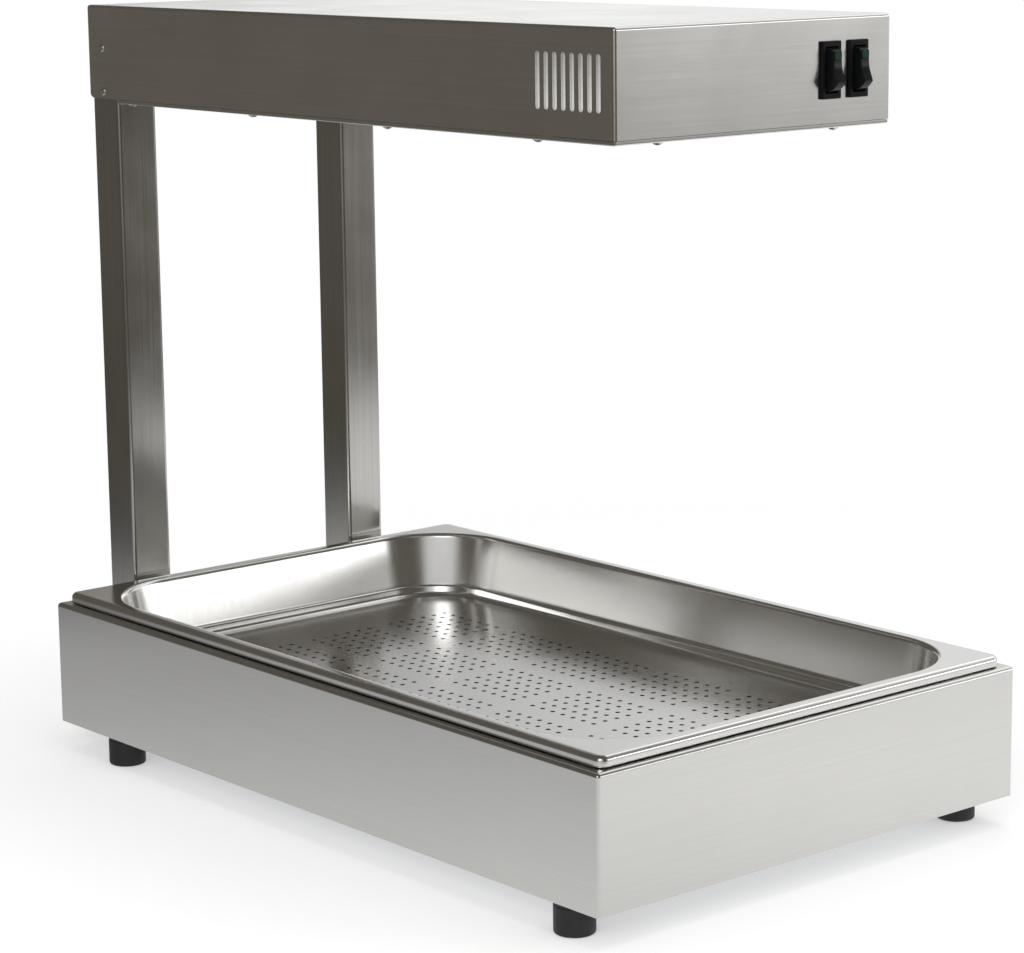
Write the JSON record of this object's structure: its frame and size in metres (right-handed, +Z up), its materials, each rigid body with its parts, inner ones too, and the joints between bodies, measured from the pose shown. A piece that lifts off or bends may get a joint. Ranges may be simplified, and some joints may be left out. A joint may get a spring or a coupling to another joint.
{
  "type": "heated food gantry",
  "caption": "Countertop heated food display: a box base with a drop-in perforated pan, rear posts and a cantilevered heater head with vents and rocker switches.",
  "frame": {"origin": "on the surface that the feet stand on, at the centre of the footprint's box", "axes": "+X to the right seen from the front, +Y from the front to the posts at the rear, +Z up"},
  "size_m": [0.338, 0.5718, 0.491],
  "materials": {
    "base_steel": "brushed stainless steel sheet",
    "head_steel": "brushed stainless steel sheet",
    "post_steel": "brushed stainless steel tube",
    "pan_steel": "bright satin stainless steel",
    "insert_steel": "bright satin stainless steel",
    "wire_steel": "bright plated wire",
    "screw_steel": "plain domed screw",
    "zinc_steel": "zinc-plated steel",
    "aluminium": "mill finish",
    "polished_aluminium": "polished reflector sheet",
    "black_plastic": "moulded black plastic",
    "gloss_black_plastic": "moulded glossy black plastic",
    "green_lens": "green lens",
    "foot_rubber": "moulded black rubber",
    "cable_rubber": "black cable sheath",
    "wire_insulation": "glass-fibre sleeved wire",
    "quartz": "frosted quartz tube",
    "ceramic": "unglazed ceramic",
    "liner_board": "pale insulating board"
  },
  "bodies": {
    "gantry": {"base_bottom_plate": "zinc_steel", "base_heating_plate": "aluminium", "base_housing": "base_steel", "cable_gland": "black_plastic", "ceramic_holder_left_front": "ceramic", "ceramic_holder_left_rear": "ceramic", "ceramic_holder_right_front": "ceramic", "ceramic_holder_right_rear": "ceramic", "foot_1": "foot_rubber", "foot_2": "foot_rubber", "foot_3": "foot_rubber", "foot_4": "foot_rubber", "foot_screw_1": "zinc_steel", "foot_screw_2": "zinc_steel", "foot_screw_3": "zinc_steel", "foot_screw_4": "zinc_steel", "gland_nut": "black_plastic", "guard_grille": "wire_steel", "head_bottom_panel": "head_steel", "head_housing": "head_steel", "head_side_screw_1": "screw_steel", "head_side_screw_2": "screw_steel", "head_side_screw_3": "screw_steel", "head_side_screw_4": "screw_steel", "heat_shield": "zinc_steel", "heater_tube_left": "quartz", "heater_tube_right": "quartz", "heater_wire_left": "wire_insulation", "heater_wire_right": "wire_insulation", "heating_plate_spacer_1": "ceramic", "heating_plate_spacer_2": "ceramic", "heating_plate_spacer_3": "ceramic", "heating_plate_spacer_4": "ceramic", "post_bolt_1": "zinc_steel", "post_bolt_2": "zinc_steel", "post_bolt_3": "zinc_steel", "post_bolt_4": "zinc_steel", "post_left": "post_steel", "post_plug_left": "black_plastic", "post_plug_right": "black_plastic", "post_right": "post_steel", "reflector": "polished_aluminium", "reflector_end_front": "polished_aluminium", "reflector_end_rear": "polished_aluminium", "supply_cable": "cable_rubber", "switch_left": "black_plastic", "switch_right": "black_plastic", "switch_wire_left": "wire_insulation", "switch_wire_right": "wire_insulation", "terminal_block": "ceramic", "vent_liner_left": "liner_board", "vent_liner_right": "liner_board"},
    "pan": {"pan": "pan_steel"},
    "insert": {"insert_frame": "insert_steel", "insert_floor": "insert_steel"},
    "rocker_left": {"rocker_left": "gloss_black_plastic", "lens_left": "green_lens"},
    "rocker_right": {"rocker_right": "gloss_black_plastic", "lens_right": "green_lens"}
  },
  "joints": [
    {"name": "rocker_left_tilt", "type": "hinge", "parent": "gantry", "child": "rocker_left", "pos_m": [0.0589, -0.2334, 0.4605], "axis": [1, 0, 0], "range_deg": [0, 22]},
    {"name": "rocker_right_tilt", "type": "hinge", "parent": "gantry", "child": "rocker_right", "pos_m": [0.0813, -0.2334, 0.4605], "axis": [1, 0, 0], "range_deg": [0, 22]},
    {"name": "pan_lift", "type": "slide", "parent": "gantry", "child": "pan", "axis": [0, 0, 1], "range_m": [0, 0.15]},
    {"name": "insert_lift", "type": "slide", "parent": "pan", "child": "insert", "axis": [0, 0, 1], "range_m": [0, 0.1]}
  ]
}
